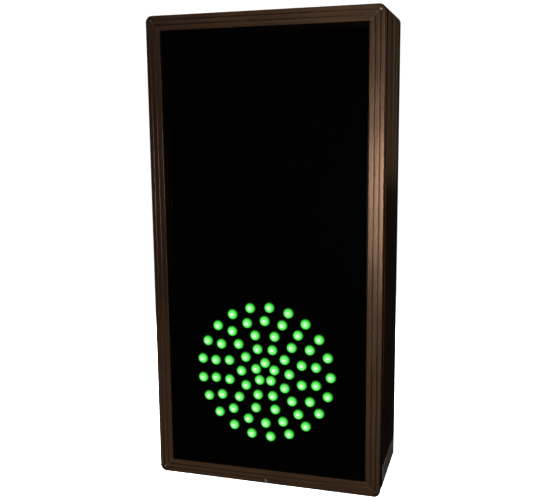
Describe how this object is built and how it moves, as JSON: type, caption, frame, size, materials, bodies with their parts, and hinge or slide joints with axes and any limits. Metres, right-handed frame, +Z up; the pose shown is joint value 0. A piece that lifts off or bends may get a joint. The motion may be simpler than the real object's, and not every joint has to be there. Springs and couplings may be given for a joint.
{
  "type": "traffic signal head",
  "caption": "Flat rectangular direct-view LED signal, red over green, in a wall-hung bronze aluminium cabinet with a top-hinged smoked front.",
  "frame": {"origin": "centre of the rectangle of wall-fixing holes, on the back face that lies on the wall", "axes": "+Z up, -Y out of the lit front, +Y into the wall, +X to the right as seen from the front"},
  "size_m": [0.1782, 0.0762, 0.3556],
  "materials": {
    "bronze": "bronze anodised, satin",
    "black_rubber": "matte",
    "smoked_panel": "smoked, non-glare",
    "zinc_steel": "zinc plated",
    "lock_metal": "bronze paint, worn slot",
    "black_plastic": "moulded nylon",
    "label_film": "blank grey film",
    "mask_black": "flat black",
    "circuit_board": "solder mask",
    "led_green": "diffused epoxy, lit",
    "led_red": "diffused epoxy, unlit",
    "case_aluminium": "mill finish",
    "coil_tape": "polyester tape",
    "capacitor_sleeve": "shrink sleeve",
    "ribbon_grey": "ribbon cable",
    "terminal_green": "moulded polyamide",
    "brass_plain": "plain"
  },
  "bodies": {
    "cabinet": {"cabinet_top_rail": "bronze", "cabinet_bottom_rail": "bronze", "cabinet_left_rail": "bronze", "cabinet_right_rail": "bronze", "corner_keys": "zinc_steel", "corner_key_screws": "zinc_steel", "back_panel": "bronze", "back_panel_rivets": "zinc_steel", "wiring_bushing": "black_plastic", "label_plate": "label_film", "hinge_cabinet_leaf": "bronze", "hinge_pin": "zinc_steel", "lock_keeper": "zinc_steel", "flange_rivets": "zinc_steel", "led_tray": "mask_black", "tray_screws": "zinc_steel", "green_led_board": "circuit_board", "green_leds": "led_green", "red_led_board": "circuit_board", "red_leds": "led_red", "board_standoffs": "zinc_steel", "board_screws": "zinc_steel", "board_headers": "black_plastic", "driver_case": "case_aluminium", "driver_lid": "case_aluminium", "driver_screws": "zinc_steel", "driver_board": "circuit_board", "driver_transformer": "coil_tape", "driver_capacitors": "capacitor_sleeve", "driver_ribbons": "ribbon_grey", "terminal_header": "terminal_green", "ground_stud": "brass_plain", "ground_nuts": "brass_plain"},
    "door": {"door_top_rail": "bronze", "door_bottom_rail": "bronze", "door_left_rail": "bronze", "door_right_rail": "bronze", "door_corner_pins": "lock_metal", "glazing_gasket": "black_rubber", "face_panel": "smoked_panel", "glazing_beads": "bronze", "door_seal": "black_rubber", "hinge_door_leaf": "bronze", "hinge_door_rivets": "zinc_steel", "lock_clip": "zinc_steel"},
    "lock": {"lock_stud": "lock_metal"},
    "plug": {"terminal_plug": "terminal_green", "terminal_screws": "zinc_steel"}
  },
  "joints": [
    {"name": "door_hinge", "type": "hinge", "parent": "cabinet", "child": "door", "pos_m": [0, -0.0697, 0.175], "axis": [-1, 0, 0], "range_deg": [0, 90]},
    {"name": "lock_turn", "type": "hinge", "parent": "door", "child": "lock", "pos_m": [0, -0.0752, -0.1757], "axis": [0, 1, 0], "range_deg": [0, 90]},
    {"name": "plug_pull", "type": "slide", "parent": "cabinet", "child": "plug", "axis": [0, -1, 0], "range_m": [0, 0.012]}
  ]
}
